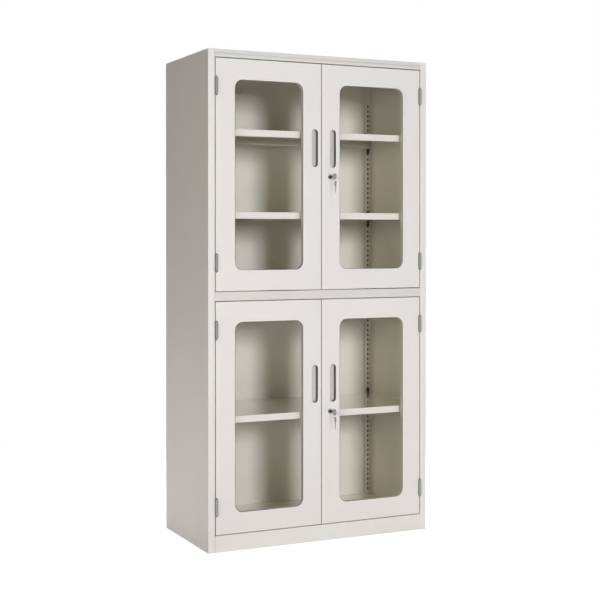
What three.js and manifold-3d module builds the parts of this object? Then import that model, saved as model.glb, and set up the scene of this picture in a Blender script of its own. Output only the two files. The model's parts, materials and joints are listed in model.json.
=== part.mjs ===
// Steel medical cabinet with two compartments, each behind a pair of glazed doors.
// Millimetres, +Z up, +X to the viewer's right, the front faces -Y and the floor is z = 0.
import * as THREE from 'three';
import { mergeVertices } from 'three/addons/utils/BufferGeometryUtils.js';
import Module from 'manifold-3d';

const wasm = await Module();
wasm.setup();

// Carcass
const WIDTH = 900;
const DEPTH = 450;
const HEIGHT = 1800;
const SHEET = 1;
const SEAM = 0.3;
const STILE = 26;
const TOP_RAIL = 28;
const LID_LIP = 14;
const MIDDLE_RAIL = 32;
const PLINTH = 60;
const FRAME_RETURN = 24;
const REAR_FLANGE = 16;

// Slotted posts, shelf clips and shelves
const POST_LEG = 30;
const POST_SHEET = 1.2;
const POST_FRONT_SPACE = 4;
const POST_REAR_SPACE = 8;
const SLOT_WIDTH = 7;
const SLOT_HEIGHT = 10;
const SLOT_PITCH = 20;
const SLOT_FROM_CORNER = 16;
const SLOT_ABOVE_FLOOR = 20;
const SLOT_BELOW_CEILING = 90;
const CLIP_WIDTH = 14;
const CLIP_SHEET = 1.6;
const CLIP_ABOVE_SHELF = 14;
const CLIP_BELOW_SHELF = 20;
const CLIP_LEDGE = 16;
const SHELF_LIP = 25;
const SHELF_RETURN = 12;
const SHELF_SIDE_SPACE = 1;
const UPPER_TOP_SHELF_ABOVE_FLOOR = 588;
const UPPER_BOTTOM_SHELF_ABOVE_FLOOR = 288;
const LOWER_SHELF_ABOVE_FLOOR = 420;

// Doors
const DOOR_GAP = 3;
const DOOR_DEPTH = 20;
const DOOR_LIP = 12;
const WINDOW_BORDER = 74;
const WINDOW_RADIUS = 30;
const GLASS = 4;
const GLASS_LAP = 8;
const RETAINER_SHEET = 1.2;
const RETAINER_FLANGE = 10;
const RETAINER_DEPTH = 14;

// Pull cups
const CUP_WIDTH = 25;
const CUP_HEIGHT = 140;
const CUP_DEPTH = 14;
const CUP_WALL = 1.2;
const CUP_FLANGE = 4;
const CUP_ABOVE_CENTRE = 105;
const LEFT_CUP_INSET = 26;
const RIGHT_CUP_INSET = 46;
const EDGE_RELIEF_HEIGHT = 132;
const EDGE_RELIEF_MARGIN = 5;

// Hinges
const HINGE_FROM_END = 101;
const BARREL_RADIUS = 5.5;
const BARREL_LENGTH = 58;
const FINIAL = 6.5;
const KNUCKLE = 25.4;
const PIN_RADIUS = 2.5;
const PIN_CLEARANCE = 0.3;
const BARREL_CLEARANCE = 0.5;
const AXIS_INSET = 1;
const LEAF_CLEARANCE = 0.6;
const LEAF_DEPTH = 16;

// Locks and keys
const LOCK_INSET = 35.5;
const BEZEL_RADIUS = 11;
const BEZEL = 2.5;
const LOCK_BARREL_RADIUS = 9;
const LOCK_LENGTH = 20.5;
const PLUG_RADIUS = 6.5;
const PLUG_TAIL_RADIUS = 4;
const TAIL_HEAD_RADIUS = 6;
const TAIL_HEAD = 2;
const CAM_SHEET = 2.2;
const CAM_WIDTH = 16;
const CAM_LENGTH = 50;
const KEY_REACH = 50;
const KEY_SHEET = 2;
const KEY_BLADE = 8;
const KEY_BLADE_IN_PLUG = 17;
const KEY_BOW_LENGTH = 32;
const KEY_BOW_HEIGHT = 24;
const KEY_HOLE_RADIUS = 2.5;
const KEY_HOLE_FROM_END = 9;
const RING_RADIUS = 9;
const RING_WIRE_RADIUS = 0.8;
const SPARE_BOW_LENGTH = 22;
const SPARE_BOW_HEIGHT = 18;
const SPARE_HOLE_FROM_END = 5.5;
const SPARE_LENGTH = 46;

// Facets of the round pieces
const ARC_STEPS = 3;
const KEY_STEPS = 8;
const HINGE_STEPS = 16;
const LOCK_STEPS = 20;
const WIRE_STEPS = 6;

// Modelling allowances: cuts run past the faces they open, and nearer vertices are one
const OVERCUT = 3;
const MERGE_DISTANCE = 1e-4;

// Sizes that follow from those above
const OPENING = (HEIGHT - TOP_RAIL - MIDDLE_RAIL - PLINTH) / 2;
const LOWER_FLOOR = PLINTH;
const UPPER_FLOOR = PLINTH + OPENING + MIDDLE_RAIL;
const INNER_SIDE = WIDTH / 2 - SHEET;
const STILE_EDGE = WIDTH / 2 - STILE;
const RAIL_HALF = STILE_EDGE - SEAM;
const BACK_FACE = DEPTH - SHEET;
const PANEL_FRONT = FRAME_RETURN + SEAM;
const PANEL_REAR = BACK_FACE - SHEET - SEAM;
const DOOR_WIDTH = (STILE_EDGE * 2 - DOOR_GAP * 3) / 2;
const DOOR_HEIGHT = OPENING - DOOR_GAP * 2;
const DOOR_CENTRE = (DOOR_WIDTH + DOOR_GAP) / 2;
const WINDOW_WIDTH = DOOR_WIDTH - WINDOW_BORDER * 2;
const WINDOW_HEIGHT = DOOR_HEIGHT - WINDOW_BORDER * 2;
const GLASS_BACK = SHEET + GLASS;
const LEAF = (DOOR_GAP - LEAF_CLEARANCE) / 2;
const AXIS_OUT = BARREL_RADIUS + BARREL_CLEARANCE;
const FRONT_POST_FACE = FRAME_RETURN + POST_FRONT_SPACE + POST_SHEET;
const REAR_POST_FACE = BACK_FACE - SHEET - POST_REAR_SPACE - POST_SHEET;
const SHELF_FRONT = FRONT_POST_FACE + CLIP_SHEET + SEAM;
const SHELF_REAR = REAR_POST_FACE - CLIP_SHEET - SEAM;
const SHELF_HALF = INNER_SIDE - POST_SHEET - SHELF_SIDE_SPACE;
const RING_Y = KEY_HOLE_FROM_END - KEY_REACH;
const WIRE_IN_HOLE = KEY_HOLE_RADIUS - RING_WIRE_RADIUS - SEAM;
const SHELF_TOPS = {
  upper_top_shelf: UPPER_FLOOR + UPPER_TOP_SHELF_ABOVE_FLOOR,
  upper_bottom_shelf: UPPER_FLOOR + UPPER_BOTTOM_SHELF_ABOVE_FLOOR,
  lower_shelf: LOWER_FLOOR + LOWER_SHELF_ABOVE_FLOOR,
};

const FINISHES = {
  paint: { color: 0xe4e2dd, roughness: 0.5, metalness: 0 },
  glass: { color: 0xd9e4dc, roughness: 0.05, metalness: 0, transparent: true, opacity: 0.3 },
  cup: { color: 0xb9b7b2, roughness: 0.4, metalness: 0.6 },
  steel: { color: 0x92908c, roughness: 0.35, metalness: 0.9 },
  chrome: { color: 0xc4c4c4, roughness: 0.15, metalness: 1 },
};

// Solids from three.js geometry, and back

function toSolid(geometry) {
  const bare = new THREE.BufferGeometry();
  bare.setAttribute('position', geometry.getAttribute('position'));
  bare.setIndex(geometry.getIndex());
  const merged = mergeVertices(bare, MERGE_DISTANCE);
  const index = merged.getIndex().array;
  const triangles = [];
  for (let i = 0; i < index.length; i += 3) {
    const corners = [index[i], index[i + 1], index[i + 2]];
    if (new Set(corners).size === 3) {
      triangles.push(...corners);
    }
  }
  return new wasm.Manifold(new wasm.Mesh({
    numProp: 3,
    vertProperties: new Float32Array(merged.getAttribute('position').array),
    triVerts: new Uint32Array(triangles),
  }));
}

function toGeometry(solid) {
  const { vertProperties, triVerts } = solid.getMesh();
  const indexed = new THREE.BufferGeometry();
  indexed.setAttribute('position', new THREE.BufferAttribute(new Float32Array(vertProperties), 3));
  indexed.setIndex(new THREE.BufferAttribute(new Uint32Array(triVerts), 1));
  const geometry = indexed.toNonIndexed();
  geometry.computeVertexNormals();
  return geometry;
}

function union(...solids) {
  return solids.reduce((whole, solid) => whole.add(solid));
}

function block([xa, xb], [ya, yb], [za, zb]) {
  const geometry = new THREE.BoxGeometry(Math.abs(xb - xa), Math.abs(yb - ya), Math.abs(zb - za));
  geometry.translate((xa + xb) / 2, (ya + yb) / 2, (za + zb) / 2);
  return toSolid(geometry);
}

function outline(points) {
  return new THREE.Shape(points.map(([x, y]) => new THREE.Vector2(x, y)));
}

function extrude(shape, length, steps) {
  return new THREE.ExtrudeGeometry(shape, { depth: length, bevelEnabled: false, curveSegments: steps });
}

// A shape drawn in X and Y, run along Z.
function alongZ(shape, [from, to], steps = ARC_STEPS) {
  const geometry = extrude(shape, to - from, steps);
  geometry.translate(0, 0, from);
  return toSolid(geometry);
}

// A shape drawn in Y and Z, run along X.
function alongX(shape, [from, to], steps = ARC_STEPS) {
  const turn = new THREE.Matrix4().makeBasis(
    new THREE.Vector3(0, 1, 0),
    new THREE.Vector3(0, 0, 1),
    new THREE.Vector3(1, 0, 0),
  );
  const geometry = extrude(shape, to - from, steps);
  geometry.applyMatrix4(turn);
  geometry.translate(from, 0, 0);
  return toSolid(geometry);
}

// A shape drawn in X and Z, run along Y.
function alongY(shape, [from, to], steps = ARC_STEPS) {
  const geometry = extrude(shape, to - from, steps);
  geometry.rotateX(Math.PI / 2);
  geometry.translate(0, to, 0);
  return toSolid(geometry);
}

// A round bar along Y.
function bar(radius, [from, to]) {
  const geometry = new THREE.CylinderGeometry(radius, radius, to - from, LOCK_STEPS);
  geometry.translate(0, (from + to) / 2, 0);
  return toSolid(geometry);
}

// A profile of radius and height, turned round Z.
function turned(profile) {
  const points = profile.map(([radius, height]) => new THREE.Vector2(radius, height));
  const geometry = new THREE.LatheGeometry(points, HINGE_STEPS);
  geometry.rotateX(Math.PI / 2);
  return toSolid(geometry);
}

function roundedWindow(width, height, radius) {
  const x = width / 2 - radius;
  const z = height / 2 - radius;
  const shape = new THREE.Shape();
  shape.absarc(x, z, radius, 0, Math.PI / 2);
  shape.absarc(-x, z, radius, Math.PI / 2, Math.PI);
  shape.absarc(-x, -z, radius, Math.PI, Math.PI * 1.5);
  shape.absarc(x, -z, radius, Math.PI * 1.5, Math.PI * 2);
  shape.closePath();
  return shape;
}

function stadium(width, height) {
  return roundedWindow(width, height, width / 2);
}

const cabinet = new THREE.Group();

function addPart(parent, name, solid, finish) {
  const mesh = new THREE.Mesh(toGeometry(solid), new THREE.MeshStandardMaterial(FINISHES[finish]));
  mesh.name = name;
  parent.add(mesh);
  return mesh;
}

// Side panels: outer sheet, front stile with its return, and rear flange, folded from one sheet.
function sidePanel(side) {
  const profile = [
    [0, 0],
    [STILE, 0],
    [STILE, FRAME_RETURN],
    [STILE - SHEET, FRAME_RETURN],
    [STILE - SHEET, SHEET],
    [SHEET, SHEET],
    [SHEET, BACK_FACE - SHEET],
    [REAR_FLANGE, BACK_FACE - SHEET],
    [REAR_FLANGE, BACK_FACE],
    [0, BACK_FACE],
  ];
  const placed = profile.map(([inward, y]) => [side * (WIDTH / 2 - inward), y]);
  return alongZ(outline(placed), [0, HEIGHT - SHEET]);
}

function topPanel() {
  const lid = block([-WIDTH / 2, WIDTH / 2], [0, DEPTH], [HEIGHT - SHEET, HEIGHT]);
  const lip = block([-RAIL_HALF, RAIL_HALF], [0, SHEET], [HEIGHT - LID_LIP, HEIGHT]);
  return lid.add(lip);
}

// Rails between the stiles: channels that open to the rear.
function rail(low, high) {
  const profile = [
    [0, low],
    [FRAME_RETURN, low],
    [FRAME_RETURN, low + SHEET],
    [SHEET, low + SHEET],
    [SHEET, high - SHEET],
    [FRAME_RETURN, high - SHEET],
    [FRAME_RETURN, high],
    [0, high],
  ];
  return alongX(outline(profile), [-RAIL_HALF, RAIL_HALF]);
}

// Trays that lie upside down: a flat top with a lip turned down in front and behind.
function tray([front, rear], [low, high], half) {
  const profile = [
    [front, low],
    [front + SHEET, low],
    [front + SHEET, high - SHEET],
    [rear - SHEET, high - SHEET],
    [rear - SHEET, low],
    [rear, low],
    [rear, high],
    [front, high],
  ];
  return alongX(outline(profile), [-half, half]);
}

function middlePanel() {
  const levels = [UPPER_FLOOR - MIDDLE_RAIL, UPPER_FLOOR];
  const panel = tray([PANEL_FRONT, PANEL_REAR], levels, INNER_SIDE - SEAM);
  const notches = [-1, 1].flatMap((side) => {
    const reach = [side * (INNER_SIDE - POST_LEG - SEAM), side * WIDTH / 2];
    const front = block(reach, [0, FRONT_POST_FACE - POST_SHEET + POST_LEG + SEAM], levels);
    const rear = block(reach, [REAR_POST_FACE + POST_SHEET - POST_LEG - SEAM, DEPTH], levels);
    return [front, rear];
  });
  return notches.reduce((whole, notch) => whole.subtract(notch), panel);
}

function backPanel() {
  return block([-WIDTH / 2, WIDTH / 2], [BACK_FACE, DEPTH], [0, HEIGHT - SHEET]);
}

// Corner posts: an angle whose slotted leg faces into the compartment, with the shelf clips hooked in it.
function slotLevels(floor) {
  const first = floor + SLOT_ABOVE_FLOOR;
  const last = floor + OPENING - SLOT_BELOW_CEILING;
  const count = Math.floor((last - first) / SLOT_PITCH) + 1;
  return Array.from({ length: count }, (_, i) => first + i * SLOT_PITCH);
}

function slottedLeg(side, [from, to]) {
  const corner = side * INNER_SIDE;
  const edge = side * (INNER_SIDE - POST_LEG);
  const middle = side * (INNER_SIDE - SLOT_FROM_CORNER);
  const high = HEIGHT - SHEET - SEAM;
  const leg = outline([[corner, PLINTH], [edge, PLINTH], [edge, high], [corner, high]]);
  leg.holes = [LOWER_FLOOR, UPPER_FLOOR].flatMap(slotLevels).map((level) => outline([
    [middle - SLOT_WIDTH / 2, level - SLOT_HEIGHT / 2],
    [middle + SLOT_WIDTH / 2, level - SLOT_HEIGHT / 2],
    [middle + SLOT_WIDTH / 2, level + SLOT_HEIGHT / 2],
    [middle - SLOT_WIDTH / 2, level + SLOT_HEIGHT / 2],
  ]));
  return alongY(leg, [from, to]);
}

// A clip is a strip on the post's face with a ledge under the shelf; inward is the way to the shelf.
function shelfClip(side, face, inward, shelfTop) {
  const middle = side * (INNER_SIDE - SLOT_FROM_CORNER);
  const across = [middle - CLIP_WIDTH / 2, middle + CLIP_WIDTH / 2];
  const seat = shelfTop - SHELF_LIP;
  const hook = face - inward * POST_SHEET / 2;
  const strip = block(
    across,
    [hook, face + inward * CLIP_SHEET],
    [seat - CLIP_BELOW_SHELF, shelfTop + CLIP_ABOVE_SHELF],
  );
  const ledge = block(across, [hook, face + inward * CLIP_LEDGE], [seat - CLIP_SHEET, seat]);
  return strip.add(ledge);
}

function cornerPost(side, face, inward) {
  const back = face - inward * POST_SHEET;
  const slotted = slottedLeg(side, [Math.min(face, back), Math.max(face, back)]);
  const wallLeg = block(
    [side * INNER_SIDE, side * (INNER_SIDE - POST_SHEET)],
    [back, back + inward * POST_LEG],
    [PLINTH, HEIGHT - SHEET - SEAM],
  );
  const clips = Object.values(SHELF_TOPS).map((top) => shelfClip(side, face, inward, top));
  return union(slotted, wallLeg, ...clips);
}

function shelf(top) {
  const low = top - SHELF_LIP;
  const pan = tray([SHELF_FRONT, SHELF_REAR], [low, top], SHELF_HALF);
  const width = [-SHELF_HALF, SHELF_HALF];
  const hem = block(width, [SHELF_FRONT, SHELF_FRONT + SHELF_RETURN], [low, low + SHEET]);
  return pan.add(hem);
}

// Door pieces stand on the middle of the door's front face; side is -1 in a left door, 1 in a right one.
function cupPlace(side) {
  const inset = side < 0 ? LEFT_CUP_INSET : RIGHT_CUP_INSET;
  return [-side * (DOOR_WIDTH / 2 - inset), CUP_ABOVE_CENTRE];
}

function lockPlace(side) {
  return -side * (DOOR_WIDTH / 2 - LOCK_INSET);
}

function doorPan(side) {
  const half = DOOR_WIDTH / 2;
  const tall = DOOR_HEIGHT / 2;
  const inner = [-(half - SHEET), half - SHEET];
  const innerTall = [-(tall - SHEET), tall - SHEET];
  const mouth = [-(half - DOOR_LIP), half - DOOR_LIP];
  const mouthTall = [-(tall - DOOR_LIP), tall - DOOR_LIP];
  const through = [-OVERCUT, SHEET + OVERCUT];
  const [cupX, cupZ] = cupPlace(side);
  const relief = block(
    [-side * (half - OVERCUT), -side * (half + OVERCUT)],
    [EDGE_RELIEF_MARGIN, DOOR_DEPTH - EDGE_RELIEF_MARGIN],
    [cupZ - EDGE_RELIEF_HEIGHT / 2, cupZ + EDGE_RELIEF_HEIGHT / 2],
  );
  const cuts = [
    block(inner, [SHEET, DOOR_DEPTH - SHEET], innerTall),
    block(mouth, [SHEET, DOOR_DEPTH + OVERCUT], mouthTall),
    alongY(roundedWindow(WINDOW_WIDTH, WINDOW_HEIGHT, WINDOW_RADIUS), through),
    alongY(stadium(CUP_WIDTH, CUP_HEIGHT), through).translate([cupX, 0, cupZ]),
    relief,
  ];
  if (side > 0) {
    cuts.push(bar(LOCK_BARREL_RADIUS + SEAM, through).translate([lockPlace(side), 0, 0]));
  }
  const skin = block([-half, half], [0, DOOR_DEPTH], [-tall, tall]);
  return cuts.reduce((whole, cut) => whole.subtract(cut), skin);
}

function doorGlass() {
  const half = WINDOW_WIDTH / 2 + GLASS_LAP;
  const tall = WINDOW_HEIGHT / 2 + GLASS_LAP;
  return block([-half, half], [SHEET, GLASS_BACK], [-tall, tall]);
}

function glassRetainer() {
  const ring = (lap, depth) => {
    const shape = roundedWindow(WINDOW_WIDTH + lap * 2, WINDOW_HEIGHT + lap * 2, WINDOW_RADIUS + lap);
    shape.holes = [roundedWindow(WINDOW_WIDTH, WINDOW_HEIGHT, WINDOW_RADIUS)];
    return alongY(shape, [GLASS_BACK, GLASS_BACK + depth]);
  };
  return ring(RETAINER_FLANGE, RETAINER_SHEET).add(ring(RETAINER_SHEET, RETAINER_DEPTH));
}

function pullCup() {
  const flange = alongY(
    stadium(CUP_WIDTH + CUP_FLANGE * 2, CUP_HEIGHT + CUP_FLANGE * 2),
    [SHEET, SHEET + CUP_WALL],
  );
  const bowl = alongY(
    stadium(CUP_WIDTH + CUP_WALL * 2, CUP_HEIGHT + CUP_WALL * 2),
    [SHEET, SHEET + CUP_DEPTH + CUP_WALL],
  );
  const hollow = alongY(stadium(CUP_WIDTH, CUP_HEIGHT), [-OVERCUT, SHEET + CUP_DEPTH]);
  return flange.add(bowl).subtract(hollow);
}

// Hinge pieces stand on the middle of the pin; outward points from the door to its stile.
function frameLeaf(outward) {
  const span = KNUCKLE / 2 + SEAM;
  const end = BARREL_LENGTH / 2;
  const pin = turned([
    [0, -end - FINIAL],
    [BARREL_RADIUS, -end],
    [BARREL_RADIUS, -span],
    [PIN_RADIUS, -span],
    [PIN_RADIUS, span],
    [BARREL_RADIUS, span],
    [BARREL_RADIUS, end],
    [0, end + FINIAL],
  ]);
  const stileEdge = AXIS_INSET + DOOR_GAP;
  const across = [outward * (stileEdge - LEAF), outward * stileEdge];
  const plate = block(across, [AXIS_OUT, AXIS_OUT + LEAF_DEPTH], [-end, end]);
  const webs = [-1, 1].map((up) => block(across, [PIN_RADIUS, AXIS_OUT + SHEET], [up * span, up * end]));
  return union(pin, plate, ...webs);
}

function doorLeaf(outward) {
  const end = BARREL_LENGTH / 2;
  const across = [outward * AXIS_INSET, outward * (AXIS_INSET + LEAF)];
  const high = [-KNUCKLE / 2, KNUCKLE / 2];
  const knuckle = turned([[0, high[0]], [BARREL_RADIUS, high[0]], [BARREL_RADIUS, high[1]], [0, high[1]]]);
  const bore = PIN_RADIUS + PIN_CLEARANCE;
  const past = KNUCKLE / 2 + OVERCUT;
  const hole = turned([[0, -past], [bore, -past], [bore, past], [0, past]]);
  const plate = block(across, [AXIS_OUT, AXIS_OUT + LEAF_DEPTH], [-end, end]);
  const web = block(across, [PIN_RADIUS, AXIS_OUT + SHEET], high);
  return union(knuckle, plate, web).subtract(hole);
}

// Lock and key pieces stand on the lock's axis at the door's front face.
function lockBody() {
  const housing = union(bar(BEZEL_RADIUS, [-BEZEL, 0]), bar(LOCK_BARREL_RADIUS, [-BEZEL, LOCK_LENGTH]));
  return housing.subtract(bar(PLUG_RADIUS + SEAM, [-BEZEL - OVERCUT, LOCK_LENGTH + OVERCUT]));
}

function lockPlug() {
  const tailEnd = LOCK_LENGTH + CAM_SHEET + SEAM * 2;
  const slot = block(
    [-(KEY_SHEET / 2 + SEAM), KEY_SHEET / 2 + SEAM],
    [-BEZEL - OVERCUT, KEY_BLADE_IN_PLUG + SEAM],
    [-(KEY_BLADE / 2 + SEAM), KEY_BLADE / 2 + SEAM],
  );
  return union(
    bar(PLUG_RADIUS, [-BEZEL, LOCK_LENGTH]).subtract(slot),
    bar(PLUG_TAIL_RADIUS, [LOCK_LENGTH - BEZEL, tailEnd]),
    bar(TAIL_HEAD_RADIUS, [tailEnd, tailEnd + TAIL_HEAD]),
  );
}

function lockCam() {
  const from = LOCK_LENGTH + SEAM;
  const arm = new THREE.Shape();
  arm.absarc(0, 0, CAM_WIDTH / 2, 0, Math.PI);
  arm.lineTo(-CAM_WIDTH / 2, -CAM_LENGTH);
  arm.lineTo(CAM_WIDTH / 2, -CAM_LENGTH);
  arm.closePath();
  const hole = bar(PLUG_TAIL_RADIUS + SEAM, [from - OVERCUT, from + CAM_SHEET + OVERCUT]);
  return alongY(arm, [from, from + CAM_SHEET]).subtract(hole);
}

// A key drawn with its blade towards +X and its oval bow ending at x = 0.
function keyShape(bowLength, bowHeight, bladeEnd, holeFromEnd) {
  const join = Math.asin(KEY_BLADE / bowHeight);
  const shape = new THREE.Shape();
  shape.moveTo(bladeEnd, KEY_BLADE / 2);
  shape.absellipse(bowLength / 2, 0, bowLength / 2, bowHeight / 2, join, Math.PI * 2 - join);
  shape.lineTo(bladeEnd, -KEY_BLADE / 2);
  shape.lineTo(bladeEnd + KEY_BLADE / 2, 0);
  shape.closePath();
  const hole = new THREE.Path();
  hole.absarc(holeFromEnd, 0, KEY_HOLE_RADIUS, 0, Math.PI * 2);
  shape.holes = [hole];
  return shape;
}

function lockKey() {
  const tip = KEY_REACH + KEY_BLADE_IN_PLUG - KEY_BLADE / 2;
  const shape = keyShape(KEY_BOW_LENGTH, KEY_BOW_HEIGHT, tip, KEY_HOLE_FROM_END);
  return alongX(shape, [-KEY_SHEET / 2, KEY_SHEET / 2], KEY_STEPS).translate([0, -KEY_REACH, 0]);
}

// The ring hangs in the key's hole and the spare key hangs on the ring.
function keyRing() {
  const geometry = new THREE.TorusGeometry(RING_RADIUS, RING_WIRE_RADIUS, WIRE_STEPS, LOCK_STEPS);
  geometry.rotateX(Math.PI / 2);
  geometry.translate(0, RING_Y, -WIRE_IN_HOLE - RING_RADIUS);
  return toSolid(geometry);
}

function spareKey() {
  const tip = SPARE_LENGTH - KEY_BLADE / 2;
  const shape = keyShape(SPARE_BOW_LENGTH, SPARE_BOW_HEIGHT, tip, SPARE_HOLE_FROM_END);
  const flat = alongX(shape, [-KEY_SHEET / 2, KEY_SHEET / 2], KEY_STEPS);
  const holeLevel = -WIRE_IN_HOLE * 2 - RING_RADIUS * 2;
  return flat.rotate([-90, 0, 0]).translate([0, RING_Y, holeLevel + SPARE_HOLE_FROM_END]);
}

// Assembly
for (const [name, side] of [['left', -1], ['right', 1]]) {
  addPart(cabinet, `${name}_side_panel`, sidePanel(side), 'paint');
  addPart(cabinet, `${name}_front_post`, cornerPost(side, FRONT_POST_FACE, 1), 'paint');
  addPart(cabinet, `${name}_rear_post`, cornerPost(side, REAR_POST_FACE, -1), 'paint');
}
addPart(cabinet, 'top_panel', topPanel(), 'paint');
addPart(cabinet, 'top_rail', rail(HEIGHT - TOP_RAIL, HEIGHT - LID_LIP - SEAM), 'paint');
addPart(cabinet, 'middle_rail', rail(UPPER_FLOOR - MIDDLE_RAIL, UPPER_FLOOR), 'paint');
addPart(cabinet, 'middle_panel', middlePanel(), 'paint');
addPart(cabinet, 'plinth_rail', rail(0, PLINTH), 'paint');
addPart(cabinet, 'floor_panel', tray([PANEL_FRONT, PANEL_REAR], [0, PLINTH], INNER_SIDE - SEAM), 'paint');
addPart(cabinet, 'back_panel', backPanel(), 'paint');
for (const [name, top] of Object.entries(SHELF_TOPS)) {
  addPart(cabinet, name, shelf(top), 'paint');
}

function addHinge(door, name, side, level) {
  const place = [side * (DOOR_WIDTH / 2 - AXIS_INSET), -AXIS_OUT, level];
  addPart(door, `${name}_hinge_frame_leaf`, frameLeaf(side), 'steel').position.set(...place);
  addPart(door, `${name}_hinge_door_leaf`, doorLeaf(side), 'steel').position.set(...place);
}

function addLock(door, name, side) {
  const lock = new THREE.Group();
  lock.position.set(lockPlace(side), 0, 0);
  door.add(lock);
  addPart(lock, `${name}_lock_body`, lockBody(), 'chrome');
  addPart(lock, `${name}_lock_plug`, lockPlug(), 'chrome');
  addPart(lock, `${name}_lock_cam`, lockCam(), 'steel');
  addPart(lock, `${name}_key`, lockKey(), 'chrome');
  addPart(lock, `${name}_key_ring`, keyRing(), 'chrome');
  addPart(lock, `${name}_spare_key`, spareKey(), 'chrome');
}

function addDoor(name, side, floor) {
  const door = new THREE.Group();
  door.position.set(side * DOOR_CENTRE, 0, floor + OPENING / 2);
  cabinet.add(door);
  const [cupX, cupZ] = cupPlace(side);
  addPart(door, `${name}_door_pan`, doorPan(side), 'paint');
  addPart(door, `${name}_door_glass`, doorGlass(), 'glass');
  addPart(door, `${name}_glass_retainer`, glassRetainer(), 'paint');
  addPart(door, `${name}_pull_cup`, pullCup(), 'cup').position.set(cupX, 0, cupZ);
  addHinge(door, `${name}_top`, side, DOOR_HEIGHT / 2 - HINGE_FROM_END);
  addHinge(door, `${name}_bottom`, side, HINGE_FROM_END - DOOR_HEIGHT / 2);
  if (side > 0) {
    addLock(door, name, side);
  }
}

for (const [level, floor] of [['upper', UPPER_FLOOR], ['lower', LOWER_FLOOR]]) {
  addDoor(`${level}_left`, -1, floor);
  addDoor(`${level}_right`, 1, floor);
}

// The origin is on the floor, under the middle of the footprint that the keys and the back panel span.
cabinet.children.forEach((child) => child.position.setY((KEY_REACH - DEPTH) / 2));

export default cabinet;
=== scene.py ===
"""Steel medical cabinet with glazed doors: its finishes, small fittings and studio stage."""
import json
import math

import bmesh
import bpy
from bpy.props import FloatProperty, FloatVectorProperty, IntProperty, PointerProperty
from bpy.types import Operator, Panel, PropertyGroup
from mathutils import Matrix, Vector

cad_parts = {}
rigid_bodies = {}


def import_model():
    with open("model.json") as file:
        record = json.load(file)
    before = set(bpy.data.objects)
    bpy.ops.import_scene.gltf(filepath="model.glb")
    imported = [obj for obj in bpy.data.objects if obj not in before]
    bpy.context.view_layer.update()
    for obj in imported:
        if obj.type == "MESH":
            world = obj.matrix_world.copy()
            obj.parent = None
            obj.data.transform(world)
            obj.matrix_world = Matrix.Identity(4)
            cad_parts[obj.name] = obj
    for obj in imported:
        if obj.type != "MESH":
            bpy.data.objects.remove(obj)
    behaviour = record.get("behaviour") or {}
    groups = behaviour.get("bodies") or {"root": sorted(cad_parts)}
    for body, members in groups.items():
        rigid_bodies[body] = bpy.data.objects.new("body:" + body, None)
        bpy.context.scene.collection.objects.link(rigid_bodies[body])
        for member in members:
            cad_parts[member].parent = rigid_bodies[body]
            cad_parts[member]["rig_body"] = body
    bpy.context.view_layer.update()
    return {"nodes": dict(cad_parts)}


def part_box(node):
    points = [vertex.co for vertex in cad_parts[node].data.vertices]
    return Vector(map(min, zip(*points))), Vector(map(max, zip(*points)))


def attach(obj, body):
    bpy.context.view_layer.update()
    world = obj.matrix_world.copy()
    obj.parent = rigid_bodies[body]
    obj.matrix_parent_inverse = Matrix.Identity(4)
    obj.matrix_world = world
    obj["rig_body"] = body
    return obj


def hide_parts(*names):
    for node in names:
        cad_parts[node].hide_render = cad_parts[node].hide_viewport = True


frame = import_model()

bl_info = {
    "name": "Glass door medical cabinet",
    "version": (1, 0, 0),
    "blender": (4, 5, 0),
    "location": "View3D > Sidebar > Cabinet",
    "description": "Finishes, fittings and stage for a steel cabinet with glazed doors",
    "category": "Object",
}

DOORS = ("upper_left", "upper_right", "lower_left", "lower_right")
LOCKED_DOORS = ("upper_right", "lower_right")
POSTS = ("left_front", "left_rear", "right_front", "right_rear")
SHELVES = ("upper_top_shelf", "upper_bottom_shelf", "lower_shelf")
PANELS = (
    "left_side_panel",
    "right_side_panel",
    "top_panel",
    "top_rail",
    "middle_rail",
    "middle_panel",
    "plinth_rail",
    "floor_panel",
    "back_panel",
)
COATS = {
    "back_panel": "back_powder_coat",
    "top_panel": "rail_powder_coat",
    "top_rail": "rail_powder_coat",
    "middle_rail": "rail_powder_coat",
    "middle_panel": "gloss_powder_coat",
    "floor_panel": "gloss_powder_coat",
    "upper_top_shelf": "gloss_powder_coat",
    "upper_bottom_shelf": "gloss_powder_coat",
    "lower_shelf": "gloss_powder_coat",
}
MERGE_DISTANCE = 1e-5
FLAT_ANGLE = math.radians(0.5)
CREASE_ANGLE = math.radians(32)
SHEET_WIDTH = 0.002
ROUND_STEPS = 20
FILLET_STEPS = 6
EDGE_SEGMENTS = 2
FLAT_FACE_WEIGHT = 100
NOISE_LOW, NOISE_HIGH = 0.3, 0.7
MIRROR_POWER = 5.0
# Painted shade: share of a metal's colour that it darkens to where it is seen at a slant.
METAL_EDGE_SHADE = 0.3
SCREW_STEPS = 12
SCREW_PROFILE = ((1.0, 0.0), (1.0, 0.3), (0.86, 0.72), (0.6, 0.95), (0.45, 1.0), (0.4, 0.45))
FLOOR_HALF_SIZE = 20
FLOOR_DROP = 0.0005
FLOOR_FADE_START = 0.4
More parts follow.
